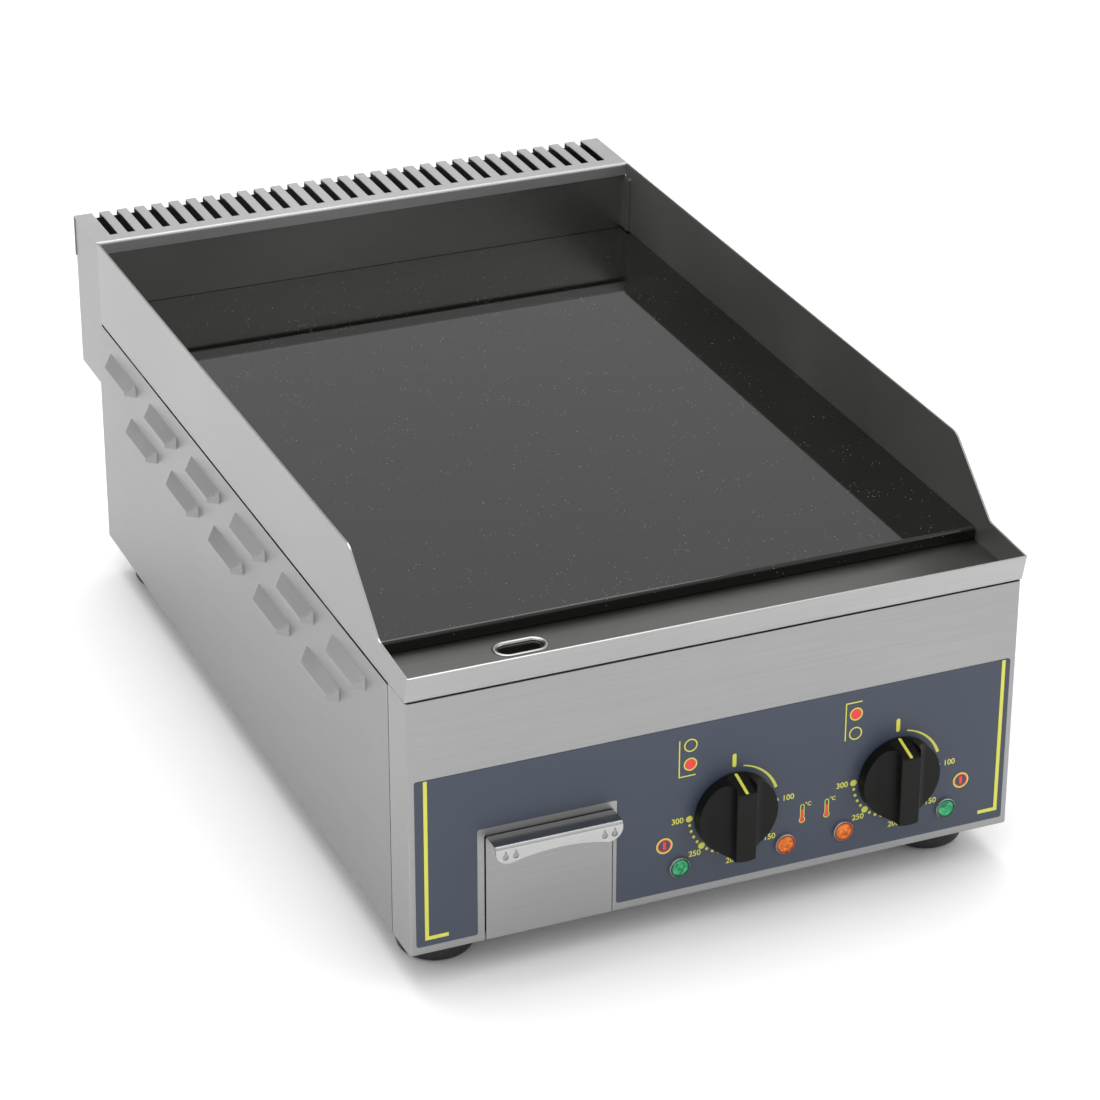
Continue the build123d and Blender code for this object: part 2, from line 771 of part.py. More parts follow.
with BuildPart() as safety_probe:
    probe_y = rim_y + zone_legs[1] + 2 * leg_pitch + 20
    with Locations((-60, probe_y, probe_z)):
        Cylinder(3, 60, rotation=(0, 90, 0))
    fillet(safety_probe.edges(), radius=1.2)
    with BuildLine() as safety_route:
        FilletPolyline(
            (-89, probe_y, probe_z),
            (-122, probe_y, probe_z),
            (-122, probe_y, probe_depth - 2),
            (-160, probe_y, probe_depth - 2),
            (-160, probe_y, 110),
            (65, probe_y, 110),
            (65, probe_y, 61.5),
            radius=5,
        )
    with BuildSketch(Plane(origin=(-89, probe_y, probe_z), z_dir=(-1, 0, 0))):
        Circle(0.8)
    sweep(path=safety_route.wires()[0])
finish(safety_probe, "safety_probe")

wire_radius = 1.3
with BuildPart() as wiring:
    for pole, (target_x, target_setback, target_z) in enumerate(
        (
            (knob_x[0] - 13, panel_inner + 42.2, knob_z - 11.6),
            (knob_x[0] + 5, panel_inner + 42.2, knob_z - 11.6),
            (knob_x[1] - 13, panel_inner + 42.2, knob_z - 11.6),
            (knob_x[1] + 5, panel_inner + 42.2, knob_z - 11.6),
        )
    ):
        start_x = 107 + pole * 13.5
        bundle_x = 96 + pole * 3
        bundle_z = 45 + pole * 3
        route_points = [
            (start_x, rim_y + block_setback - 0.2, 38.8),
            (start_x, rim_y + block_setback - 16 - pole * 5, 38.8),
            (start_x, rim_y + block_setback - 16 - pole * 5, bundle_z),
            (bundle_x, rim_y + block_setback - 16 - pole * 5, bundle_z),
            (bundle_x, rim_y + 100 + pole * 5, bundle_z),
            (target_x, rim_y + 100 + pole * 5, bundle_z),
            (target_x, rim_y + 100 + pole * 5, target_z),
            (target_x, rim_y + target_setback, target_z),
        ]
        with BuildLine() as wire_route:
            FilletPolyline(*route_points, radius=1.8)
        with BuildSketch(Plane(origin=route_points[0], z_dir=(0, -1, 0))):
            Circle(wire_radius)
        sweep(path=wire_route.wires()[0])
finish(wiring, "wiring")

with BuildPart() as cable_gland:
    with BuildSketch(
        Plane(origin=(gland_x, rim_y + body_setback, gland_z), x_dir=(-1, 0, 0), z_dir=(0, 1, 0))
    ):
        RegularPolygon(radius=14.5, side_count=6)
    extrude(amount=6)
    bar_along_y(gland_x, gland_z, body_setback - 12, body_setback + 10, 10)
    bar_along_y(gland_x, gland_z, body_setback + 9, body_setback + 24, 12)
    fillet(cable_gland.edges().group_by(Axis.Y)[-1], radius=4)
    bar_along_y(gland_x, gland_z, body_setback - 13, body_setback + 25, 5.5, mode=Mode.SUBTRACT)
finish(cable_gland, "cable_gland")

with BuildPart() as gland_nut:
    with BuildSketch(
        Plane(origin=(gland_x, rim_y + body_setback - sheet, gland_z), x_dir=(1, 0, 0), z_dir=(0, -1, 0))
    ):
        RegularPolygon(radius=14, side_count=6)
        Circle(10.05, mode=Mode.SUBTRACT)
    extrude(amount=5)
finish(gland_nut, "gland_nut")

with BuildPart() as bonding_stud:
    bar_along_y(bond_x, bond_z, body_setback - 6, body_setback + 14, 3)
    bar_along_y(bond_x, bond_z, body_setback - 4, body_setback - sheet, 6)
    bar_along_y(bond_x, bond_z, body_setback, body_setback + 5, 5)
finish(bonding_stud, "bonding_stud")

# ---------------------------------------------------------------- grease drawer
box_low = foot_height + sheet + 1.3
box_high = 84.0
box_front = panel_setback + 0.5
box_left = drawer_x - drawer_width / 2
box_right = drawer_x + drawer_width / 2
with BuildPart() as drawer_box:
    slab((box_left, box_right), (box_front, box_front + drawer_length), (box_low, box_high))
    fillet(drawer_box.edges().filter_by(Axis.Z), radius=2)
    slab(
        (box_left + sheet, box_right - sheet),
        (box_front + sheet, box_front + drawer_length - sheet),
        (box_low + sheet, box_high + 1),
        mode=Mode.SUBTRACT,
    )
finish(drawer_box, "drawer_box")

front_left_edge = drawer_left + 0.7
front_right_edge = drawer_right - 0.5
lip_setback = box_front - sheet - handle_reach
with BuildPart() as drawer_front:
    with BuildSketch(Plane.YZ.offset(front_left_edge)):
        with BuildLine():
            FilletPolyline(
                *setback_points(
                    [
                        (box_front - sheet, body_bottom + 0.4),
                        (box_front - sheet, drawer_top),
                        (lip_setback, drawer_top),
                        (lip_setback, drawer_top - 13),
                    ]
                ),
                radius=1.6,
            )
            offset(amount=sheet, side=Side.RIGHT)
        make_face()
    extrude(amount=front_right_edge - front_left_edge)
    middle_x = (front_left_edge + front_right_edge) / 2
    reach = (front_right_edge - front_left_edge) / 2
    # arched lower edge of the lip, deeper towards its rounded ends
    with BuildSketch(Plane.XZ.offset(-rim_y - lip_setback + 3)) as trim:
        with BuildLine():
            arch = ThreePointArc(
                (middle_x - reach + 9, drawer_top - 11.4),
                (middle_x, drawer_top - 7.4),
                (middle_x + reach - 9, drawer_top - 11.4),
            )
            right_end = RadiusArc(arch @ 1, (middle_x + reach + 0.1, drawer_top - 3.5), -9)
            Polyline(
                right_end @ 1,
                (middle_x + reach + 0.1, drawer_top - 20),
                (middle_x - reach - 0.1, drawer_top - 20),
                (middle_x - reach - 0.1, drawer_top - 3.5),
            )
            RadiusArc((middle_x - reach - 0.1, drawer_top - 3.5), arch @ 0, -9)
        make_face()
    extrude(amount=-8, mode=Mode.SUBTRACT)
    # teardrop perforations either side, points upwards
    with BuildSketch(Plane.XZ.offset(-rim_y - lip_setback + 3)):
        with Locations(*[(drawer_x + hole_x, drawer_top - 6.6) for hole_x in (-34.2, -27.8, 28.8, 35.2)]):
            Circle(1.8)
            Triangle(a=3.4, b=4.7, c=4.7, align=(Align.CENTER, Align.MIN))
    extrude(amount=-5, mode=Mode.SUBTRACT)
finish(drawer_front, "drawer_front")

for guide_name, hand, edge in (
    ("left_drawer_guide", -1, box_left),
    ("right_drawer_guide", 1, box_right),
):
    with BuildPart() as guide:
        wall = sorted((edge + hand * 0.7, edge + hand * 1.7))
        shelf = sorted((edge + hand * 1.7, edge - hand * 11))
        lip = sorted((edge + hand * 1.7, edge - hand * 4))
        guide_rear = box_front + drawer_length + 1.6
        slab(wall, (8.5, guide_rear), (foot_height + sheet, box_high + 2.2))
        slab(shelf, (8.5, guide_rear), (foot_height + sheet, foot_height + 2 * sheet))
        slab(lip, (8.5, guide_rear), (box_high + 1.2, box_high + 2.2))
        slab(shelf, (guide_rear - sheet, guide_rear), (foot_height + sheet, box_high + 2.2))
    finish(guide, guide_name)
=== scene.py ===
import json
import math
import bpy
import bmesh
from mathutils import Matrix, Vector

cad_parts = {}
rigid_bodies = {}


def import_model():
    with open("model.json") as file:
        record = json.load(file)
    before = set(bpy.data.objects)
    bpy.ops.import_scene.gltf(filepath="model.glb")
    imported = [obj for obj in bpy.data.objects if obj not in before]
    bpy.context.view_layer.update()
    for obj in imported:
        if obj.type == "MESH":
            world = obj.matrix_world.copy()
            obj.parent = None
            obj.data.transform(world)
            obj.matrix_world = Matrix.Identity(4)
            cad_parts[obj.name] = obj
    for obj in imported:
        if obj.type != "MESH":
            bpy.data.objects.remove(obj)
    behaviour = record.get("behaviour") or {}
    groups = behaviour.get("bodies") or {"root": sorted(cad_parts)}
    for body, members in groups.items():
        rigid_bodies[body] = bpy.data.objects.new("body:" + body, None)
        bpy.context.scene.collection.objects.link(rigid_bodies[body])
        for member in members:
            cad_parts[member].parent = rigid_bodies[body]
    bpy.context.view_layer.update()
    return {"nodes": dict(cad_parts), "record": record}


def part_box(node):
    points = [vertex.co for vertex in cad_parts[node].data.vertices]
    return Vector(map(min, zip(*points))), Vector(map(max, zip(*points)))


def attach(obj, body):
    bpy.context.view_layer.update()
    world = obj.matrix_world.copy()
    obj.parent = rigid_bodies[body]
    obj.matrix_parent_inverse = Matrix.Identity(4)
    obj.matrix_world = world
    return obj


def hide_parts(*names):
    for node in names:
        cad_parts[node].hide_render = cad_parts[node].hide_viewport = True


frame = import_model()
nodes = frame["nodes"]
record = frame["record"]
print("frame loaded:", len(nodes), "nodes")

mm = 0.001
scene = bpy.context.scene
scene.view_settings.view_transform = "Standard"

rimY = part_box("splash_tray")[0].y
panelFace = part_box("control_overlay")[0].y
knobSpots = {}
for zone in ("front", "rear"):
    low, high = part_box(f"{zone}_knob_spindle")
    knobSpots[zone] = Vector(((low.x + high.x) / 2, panelFace, (low.z + high.z) / 2))


# materials

def newMaterial(name):
    mat = bpy.data.materials.new(name)
    mat.use_nodes = True
    tree = mat.node_tree
    return mat, tree, tree.nodes["Principled BSDF"]


def objectPattern(tree, scale=(1, 1, 1)):
    coords = tree.nodes.new("ShaderNodeTexCoord")
    place = tree.nodes.new("ShaderNodeMapping")
    place.inputs["Scale"].default_value = scale
    tree.links.new(coords.outputs["Object"], place.inputs["Vector"])
    return place.outputs["Vector"]


def noise(tree, vector, scale, detail=3.0, roughness=0.5):
    tex = tree.nodes.new("ShaderNodeTexNoise")
    tex.inputs["Scale"].default_value = scale
    tex.inputs["Detail"].default_value = detail
    tex.inputs["Roughness"].default_value = roughness
    tree.links.new(vector, tex.inputs["Vector"])
    return tex.outputs["Fac"]


def spread(tree, value, low, high, fromLow=0.3, fromHigh=0.7):
    ranger = tree.nodes.new("ShaderNodeMapRange")
    ranger.inputs["From Min"].default_value = fromLow
    ranger.inputs["From Max"].default_value = fromHigh
    ranger.inputs["To Min"].default_value = low
    ranger.inputs["To Max"].default_value = high
    tree.links.new(value, ranger.inputs["Value"])
    return ranger.outputs["Result"]


def twoTone(tree, fac, first, second):
    ramp = tree.nodes.new("ShaderNodeValToRGB")
    ramp.color_ramp.elements[0].color = (*first, 1)
    ramp.color_ramp.elements[1].color = (*second, 1)
    tree.links.new(fac, ramp.inputs["Fac"])
    return ramp.outputs["Color"]


def bump(tree, shader, height, strength, distance):
    node = tree.nodes.new("ShaderNodeBump")
    node.inputs["Strength"].default_value = strength
    node.inputs["Distance"].default_value = distance
    tree.links.new(height, node.inputs["Height"])
    tree.links.new(node.outputs["Normal"], shader.inputs["Normal"])


def brushedMetal(name, look):
    # long streaks along one axis, a slow smear over them and a fine tooth
    mat, tree, shader = newMaterial(name)
    shader.inputs["Metallic"].default_value = 1.0
    streaks = noise(tree, objectPattern(tree, look["grain"]), 1.0, 6.0, 0.65)
    smear = noise(tree, objectPattern(tree), 6.0, 3.0)
    blend = tree.nodes.new("ShaderNodeMath")
    blend.operation = "MULTIPLY_ADD"
    blend.inputs[1].default_value = 0.7
    tree.links.new(streaks, blend.inputs[0])
    tree.links.new(spread(tree, smear, 0.0, 0.3), blend.inputs[2])
    tint = twoTone(tree, blend.outputs[0], look["dark"], look["light"])
    tree.links.new(tint, shader.inputs["Base Color"])
    gloss = spread(tree, smear, look["polish"], look["polish"] + look["uneven"])
    tree.links.new(gloss, shader.inputs["Roughness"])
    bump(tree, shader, streaks, look["tooth"], 0.00004)
    return mat


# streaks run along the axis that has the small number
grainX = (14, 900, 900)
grainY = (900, 14, 900)
steelAcross = brushedMetal("steel_brushed_across", {
    "dark": (0.27, 0.27, 0.272), "light": (0.375, 0.375, 0.378), "polish": 0.33, "uneven": 0.08,
    "tooth": 0.16, "grain": grainX,
})
# painted shade: the side sheets get a darker copy of the brushed steel, with the grain along y
steelAlongShaded = brushedMetal("steel_brushed_along_painted_shade", {
    "dark": (0.235, 0.235, 0.237), "light": (0.325, 0.325, 0.328), "polish": 0.33, "uneven": 0.08,
    "tooth": 0.16, "grain": grainY,
})
steelBright = brushedMetal("steel_bright_edge", {
    "dark": (0.62, 0.62, 0.62), "light": (0.82, 0.82, 0.82), "polish": 0.18, "uneven": 0.08,
    "tooth": 0.1, "grain": (60, 60, 60),
})
# painted light: a lighter copy of the brushed steel for the rear cover top and the tray rim's front face
steelCoverLit = brushedMetal("steel_brushed_cover_painted_light", {
    "dark": (0.36, 0.36, 0.36), "light": (0.50, 0.50, 0.50), "polish": 0.46, "uneven": 0.08,
    "tooth": 0.16, "grain": grainX,
})
# painted shade: a much darker copy of the steel for the gutter floor, the recess between plate and rim
gutterSteelShaded = brushedMetal("steel_gutter_painted_shade", {
    "dark": (0.10, 0.10, 0.094), "light": (0.155, 0.155, 0.148), "polish": 0.26, "uneven": 0.1,
    "tooth": 0.1, "grain": (14, 300, 300),
})
# painted light: a lighter copy of the steel for the drawer handle's lip, with lower roughness
steelLipLit = brushedMetal("steel_polished_lip_painted_light", {
    "dark": (0.38, 0.38, 0.38), "light": (0.55, 0.55, 0.55), "polish": 0.22, "uneven": 0.08,
    "tooth": 0.1, "grain": (40, 300, 300),
})
traySteel = brushedMetal("steel_polished_tray", {
    "dark": (0.29, 0.29, 0.275), "light": (0.40, 0.40, 0.385), "polish": 0.25, "uneven": 0.06,
    "tooth": 0.1, "grain": grainX,
})
# painted light: a lighter, rougher copy of the side steel for the sloping louvre hood faces
hoodSteelLit = brushedMetal("steel_louvre_hood_painted_light", {
    "dark": (0.42, 0.42, 0.422), "light": (0.56, 0.56, 0.562), "polish": 0.5, "uneven": 0.08,
    "tooth": 0.16, "grain": grainY,
})
# painted light: a lighter copy of the tray steel for the tray's inner side walls
guardSteelLit = brushedMetal("steel_guard_inside_painted_light", {
    "dark": (0.34, 0.34, 0.325), "light": (0.46, 0.46, 0.445), "polish": 0.44, "uneven": 0.06,
    "tooth": 0.1, "grain": grainY,
})
zinc = brushedMetal("zinc_plated", {
    "dark": (0.34, 0.35, 0.36), "light": (0.50, 0.51, 0.52), "polish": 0.38, "uneven": 0.16,
    "tooth": 0.25, "grain": (220, 220, 220),
})


def plainFinish(name, look):
    # moulded or painted surface: small colour drift, uneven gloss and a fine skin
    mat, tree, shader = newMaterial(name)
    shader.inputs["Metallic"].default_value = look.get("metal", 0.0)
    shader.inputs["IOR"].default_value = look.get("ior", 1.5)
    drift = noise(tree, objectPattern(tree), look.get("driftScale", 40.0), 4.0)
    dark = tuple(c * look.get("drift", 0.8) for c in look["colour"])
    tree.links.new(twoTone(tree, drift, dark, look["colour"]), shader.inputs["Base Color"])
    rough = look["rough"]
    tree.links.new(spread(tree, drift, rough * 0.85, rough * 1.15), shader.inputs["Roughness"])
    grain = noise(tree, objectPattern(tree), look.get("skin", 1800.0), 2.0)
    bump(tree, shader, grain, look.get("tooth", 0.15), 0.00005)
    return mat


rubberBlack = plainFinish("foot_rubber", {"colour": (0.018, 0.018, 0.018), "rough": 0.6, "tooth": 0.5})
knobBlack = plainFinish("knob_phenolic", {
    "colour": (0.005, 0.005, 0.0042), "rough": 0.42, "tooth": 0.22, "ior": 1.27,
})
overlayBlue = plainFinish("overlay_film", {
    "colour": (0.050, 0.062, 0.090), "rough": 0.42, "ior": 1.4, "drift": 0.93, "driftScale": 12,
})
printYellow = plainFinish("print_yellow", {"colour": (0.66, 0.66, 0.08), "rough": 0.45, "drift": 0.92})
printRed = plainFinish("print_red", {"colour": (0.80, 0.045, 0.04), "rough": 0.45, "drift": 0.92})
deviceIvory = plainFinish("device_ivory", {"colour": (0.62, 0.58, 0.50), "rough": 0.5})
nylonBlack = plainFinish("gland_nylon", {"colour": (0.02, 0.02, 0.02), "rough": 0.4})
wireRed = plainFinish("wire_silicone", {"colour": (0.42, 0.05, 0.03), "rough": 0.5})
woolPale = plainFinish("wool_blanket", {
    "colour": (0.62, 0.58, 0.46), "rough": 0.95, "drift": 0.6, "skin": 500, "tooth": 1.0,
})
sheathDark = plainFinish("element_sheath", {
    "colour": (0.16, 0.15, 0.13), "rough": 0.4, "metal": 1.0, "drift": 0.6,
})
copper = plainFinish("copper_probe", {
    "colour": (0.72, 0.36, 0.20), "rough": 0.3, "metal": 1.0, "drift": 0.7,
})
brass = plainFinish("brass_stud", {"colour": (0.72, 0.52, 0.18), "rough": 0.3, "metal": 1.0})


def enamelPlate():
    # glossy black cooking surface with wipe marks and scattered dust
    mat, tree, shader = newMaterial("plate_enamel")
    look = {
        "body": (0.003, 0.003, 0.0025), "film": (0.006, 0.006, 0.005), "dust": (0.42, 0.40, 0.36),
        "rough": 0.025, "uneven": 0.03, "speckCells": 380.0, "patches": 70.0,
    }
    wipe = noise(tree, objectPattern(tree, (3, 14, 3)), 2.0, 5.0, 0.6)
    body = twoTone(tree, wipe, look["body"], look["film"])
    specks = tree.nodes.new("ShaderNodeTexVoronoi")
    specks.inputs["Scale"].default_value = look["speckCells"]
    tree.links.new(objectPattern(tree), specks.inputs["Vector"])
    near = spread(tree, specks.outputs["Distance"], 1.0, 0.0, 0.05, 0.12)
    pick = noise(tree, objectPattern(tree), look["patches"], 2.0)
    few = spread(tree, pick, 0.0, 1.0, 0.53, 0.60)
    dust = tree.nodes.new("ShaderNodeMath")
    dust.operation = "MULTIPLY"
    tree.links.new(near, dust.inputs[0])
    tree.links.new(few, dust.inputs[1])
    mix = tree.nodes.new("ShaderNodeMix")
    mix.data_type = "RGBA"
    tree.links.new(dust.outputs[0], mix.inputs[0])
    tree.links.new(body, mix.inputs[6])
    mix.inputs[7].default_value = (*look["dust"], 1)
    tree.links.new(mix.outputs[2], shader.inputs["Base Color"])
    gloss = spread(tree, wipe, look["rough"], look["rough"] + look["uneven"])
    tree.links.new(gloss, shader.inputs["Roughness"])
    shader.inputs["IOR"].default_value = 1.45
    skin = noise(tree, objectPattern(tree), 900.0, 2.0)
    bump(tree, shader, skin, 0.05, 0.00001)
    return mat


def jewelLens(name, look):
    # cut plastic: cells of deep and bright colour are painted glints and painted shade, as facets over a
    # small bulb give
    mat, tree, shader = newMaterial(name)
    cells = tree.nodes.new("ShaderNodeTexVoronoi")
    cells.inputs["Scale"].default_value = 420.0
    tree.links.new(objectPattern(tree, (1, 0.4, 1)), cells.inputs["Vector"])
    split = tree.nodes.new("ShaderNodeSeparateColor")
    tree.links.new(cells.outputs["Color"], split.inputs["Color"])
    share = spread(tree, split.outputs["Red"], 0.0, 1.0, 0.1, 0.9)
    tint = twoTone(tree, share, look["deep"], look["bright"])
    tree.links.new(tint, shader.inputs["Base Color"])
    # a faint emission from the cell colour: painted highlight
    tree.links.new(tint, shader.inputs["Emission Color"])
    shader.inputs["Emission Strength"].default_value = 0.12
    gloss = spread(tree, cells.outputs["Distance"], 0.12, 0.24, 0.0, 1.0)
    tree.links.new(gloss, shader.inputs["Roughness"])
    shader.inputs["IOR"].default_value = 1.38
    bump(tree, shader, cells.outputs["Distance"], 0.5, 0.0006)
    return mat


lensGreen = jewelLens("lens_green", {"deep": (0.01, 0.17, 0.07), "bright": (0.05, 0.42, 0.18)})
lensAmber = jewelLens("lens_amber", {"deep": (0.46, 0.09, 0.004), "bright": (0.78, 0.22, 0.03)})
# painted shade: darker copies of the lens plastic for the outer ring of facets
edgeGreenShaded = jewelLens("lens_green_edge_painted_shade", {"deep": (0.0, 0.035, 0.014), "bright": (0.002, 0.09, 0.035)})
edgeAmberShaded = jewelLens("lens_amber_edge_painted_shade", {"deep": (0.17, 0.022, 0.0), "bright": (0.36, 0.055, 0.002)})
plateEnamel = enamelPlate()

finishOf = {
    "steel_satin": steelAcross, "steel_galvanised": zinc, "steel_zinc": zinc,
    "enamel_black": plateEnamel, "element_sheath": sheathDark, "copper_bulb": copper,
    "brass_bond": brass, "rubber_black": rubberBlack, "knob_black": knobBlack,
    "overlay_print": overlayBlue, "lens_green": lensGreen, "lens_amber": lensAmber,
    "lamp_metal": steelBright, "device_grey": deviceIvory, "gland_nylon": nylonBlack,
    "wire_silicone": wireRed, "wool_blanket": woolPale,
}
slotOf = {part["node"]: part["material_slot"] for part in record["subparts"]}
bodyOf = {node: body for body, members in record["behaviour"]["bodies"].items() for node in members}
grainAlong = ("left_side", "right_side")


def dress(obj, mat):
    obj.data.materials.clear()
    obj.data.materials.append(mat)


for nodeName, obj in nodes.items():
    # the side sheets take the darker along-grain copy: painted shade
    dress(obj, steelAlongShaded if nodeName in grainAlong else finishOf[slotOf[nodeName]])
dress(nodes["splash_tray"], traySteel)
# the rear cover takes the lighter copy: painted light
dress(nodes["rear_cover"], steelCoverLit)
print("materials assigned")


# building helpers

def addPiece(name, bm, mat, body, smooth=False):
    mesh = bpy.data.meshes.new(name)
    bm.to_mesh(mesh)
    bm.free()
    obj = bpy.data.objects.new(name, mesh)
    scene.collection.objects.link(obj)
    dress(obj, mat)
    if smooth:
        mesh.polygons.foreach_set("use_smooth", [True] * len(mesh.polygons))
    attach(obj, body)
    return obj


def addBevel(obj, width):
    sharpest = math.radians(35)
    mod = obj.modifiers.new("edge_round", "BEVEL")
    mod.width = width
    mod.segments = 2
    mod.limit_method = "ANGLE"
    mod.angle_limit = sharpest
    obj.data.polygons.foreach_set("use_smooth", [True] * len(obj.data.polygons))
    obj.data.set_sharp_from_angle(angle=sharpest)
    keep = obj.modifiers.new("flat_faces", "WEIGHTED_NORMAL")  # large sheet faces stay truly flat
    keep.keep_sharp = True
    keep.weight = 100
    keep.mode = "FACE_AREA"


def easedCopy(nodeName, width):
    # the CAD shape again, joined up and with its folded edges eased
    bm = bmesh.new()
    bm.from_mesh(nodes[nodeName].data)
    bmesh.ops.remove_doubles(bm, verts=bm.verts, dist=0.000002)
    bmesh.ops.dissolve_limit(bm, angle_limit=math.radians(1.0), verts=bm.verts, edges=bm.edges)
    bmesh.ops.recalc_face_normals(bm, faces=bm.faces)
    mat = nodes[nodeName].data.materials[0]
    obj = addPiece(nodeName + "_eased", bm, mat, bodyOf[nodeName])
    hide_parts(nodeName)
    addBevel(obj, width)


easedEdges = {
    "splash_tray": 0.35, "rear_cover": 0.3, "front_panel": 0.3, "left_side": 0.25,
    "right_side": 0.25, "griddle_plate": 0.5, "drawer_front": 0.3, "back_panel": 0.25,
    "front_left_foot": 0.5, "front_right_foot": 0.5, "rear_left_foot": 0.5, "rear_right_foot": 0.5,
    "front_zone_knob": 0.35, "rear_zone_knob": 0.35, "cable_gland": 0.5,
}
for nodeName, width in easedEdges.items():
    easedCopy(nodeName, width * mm)

# second materials on parts of one folded sheet; most are lighter and darker copies of the steel: painted
# light on the handle lip, louvre hoods, rim face and inner guard walls, painted shade on the gutter floor
sheetLook = {
    "lipAhead": 1.5, "rimDepth": 4.6, "guardSkin": 0.05, "floorSlack": 1.0,
    "slope": (0.2, 0.97), "facing": 0.9,
}
facing = sheetLook["facing"]
shallow, steep = sheetLook["slope"]
handle = bpy.data.objects["drawer_front_eased"]
handle.data.materials.append(steelLipLit)
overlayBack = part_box("control_overlay")[1].y
# the lip faces take the lighter copy: painted light
for face in handle.data.polygons:
    if face.center.y < overlayBack - sheetLook["lipAhead"] * mm:
        face.material_index = 1

for side in grainAlong:
    sheet = bpy.data.objects[side + "_eased"]
    sheet.data.materials.append(hoodSteelLit)
    # the sloping hood faces take the lighter copy: painted light
    for face in sheet.data.polygons:
        sloping = shallow < abs(face.normal.x) < steep
        if sloping and abs(face.normal.z) > abs(face.normal.y):
            face.material_index = 1

tray = bpy.data.objects["splash_tray_eased"]
for mat in (steelAcross, gutterSteelShaded, steelCoverLit, guardSteelLit):
    tray.data.materials.append(mat)
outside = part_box("splash_tray")[1].x - sheetLook["guardSkin"] * mm
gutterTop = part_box("griddle_plate")[0].z + sheetLook["floorSlack"] * mm
rimBack = rimY + sheetLook["rimDepth"] * mm
for face in tray.data.polygons:
    if face.normal.y < -facing and face.center.y < rimBack:
        # the rim's front face takes the lighter cover copy: painted light
        face.material_index = 3
    elif abs(face.center.x) > outside:
        face.material_index = 1
    elif abs(face.normal.x) > facing:
        # the inner side walls take the lighter copy: painted light
        face.material_index = 4
    elif face.normal.z > facing and face.center.z < gutterTop:
        # the gutter floor takes the darker copy: painted shade
        face.material_index = 2
print("casing eased")

# printed panel
printLook = {
    "thick": 0.12, "lineWidth": 2.4, "fineWidth": 0.75, "bold": 0.06,
    "over": 0.01, "arcSteps": 36, "discSides": 28,
}


def onPanel(x, z, lift=0.0):
    return Vector((x * mm, panelFace - lift * mm, z * mm))


def bar(bm, x, z, wide, tall, lift=0.0):
    # thin printed bar centred at x, z
    made = bmesh.ops.create_cube(bm, size=1.0)["verts"]
    thick = printLook["thick"] * mm
    bmesh.ops.scale(bm, vec=(wide * mm, thick, tall * mm), verts=made)
    bmesh.ops.translate(bm, vec=onPanel(x, z, lift), verts=made)


def disc(bm, x, z, radius, lift=0.0):
    made = bmesh.ops.create_cone(bm, cap_ends=True, segments=printLook["discSides"], radius1=radius * mm,
                                 radius2=radius * mm, depth=printLook["thick"] * mm)["verts"]
    bmesh.ops.rotate(bm, cent=(0, 0, 0), matrix=Matrix.Rotation(math.radians(90), 3, "X"), verts=made)
    bmesh.ops.translate(bm, vec=onPanel(x, z, lift), verts=made)


def arcBand(bm, x, z, radius, widths, degrees):
    # band spun round x, z clockwise between two angles; its width tapers from start to end
    start, end = (math.radians(a) for a in degrees)
    thick = printLook["thick"] * mm
    corners = [bm.verts.new((radius * mm + side * widths[0] * mm / 2, -thick / 2 + depth * thick, 0))
               for side, depth in ((-1, 0), (1, 0), (1, 1), (-1, 1))]
    face = bm.faces.new(corners)
    full = abs(end - start) > 6.28
    before = set(bm.verts) - set(corners)
    turn = Matrix.Rotation(start - math.pi / 2, 3, "Y")
    bmesh.ops.rotate(bm, cent=(0, 0, 0), matrix=turn, verts=corners)
    bmesh.ops.spin(bm, geom=[face], cent=(0, 0, 0), axis=(0, 1, 0), angle=end - start,
                   steps=printLook["arcSteps"], use_merge=full, use_duplicate=False)
    if full:
        walls = [f for f in bm.faces if all(len(e.link_faces) > 2 for e in f.edges)]
        bmesh.ops.delete(bm, geom=walls, context="FACES_ONLY")
    made = [v for v in bm.verts if v not in before]
    bmesh.ops.recalc_face_normals(bm, faces=[f for f in bm.faces if f.verts[0] in made])
    for vert in made:
        reach = math.hypot(vert.co.x, vert.co.z)
        angle = math.atan2(vert.co.x, vert.co.z) % (2 * math.pi)
        share = 0 if full else min(1, max(0, (angle - start) / (end - start)))
        width = widths[0] + (widths[1] - widths[0]) * share
        side = 1 if reach > radius * mm else -1
        wanted = (radius + side * width / 2) * mm
        vert.co.x *= wanted / reach
        vert.co.z *= wanted / reach
    bmesh.ops.translate(bm, vec=onPanel(x, z), verts=made)


def label(name, words, x, z, size):
    curve = bpy.data.curves.new(name, "FONT")
    curve.body = words
    curve.size = size * mm
    curve.extrude = printLook["thick"] * mm / 2
    curve.align_x = "CENTER"
    curve.align_y = "CENTER"
    curve.offset = printLook["bold"] * mm
    carrier = bpy.data.objects.new(name + "_curve", curve)
    scene.collection.objects.link(carrier)
    bpy.context.view_layer.update()
    mesh = bpy.data.meshes.new_from_object(carrier)
    bpy.data.objects.remove(carrier)
    joined = bmesh.new()
    joined.from_mesh(mesh)
    bmesh.ops.remove_doubles(joined, verts=joined.verts, dist=0.000001)
    bmesh.ops.recalc_face_normals(joined, faces=joined.faces)
    joined.to_mesh(mesh)
    joined.free()
    mesh.transform(Matrix.Translation(onPanel(x, z)) @ Matrix.Rotation(math.radians(90), 4, "X"))
    obj = bpy.data.objects.new(name, mesh)
    scene.collection.objects.link(obj)
    dress(obj, printYellow)
    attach(obj, "casing")


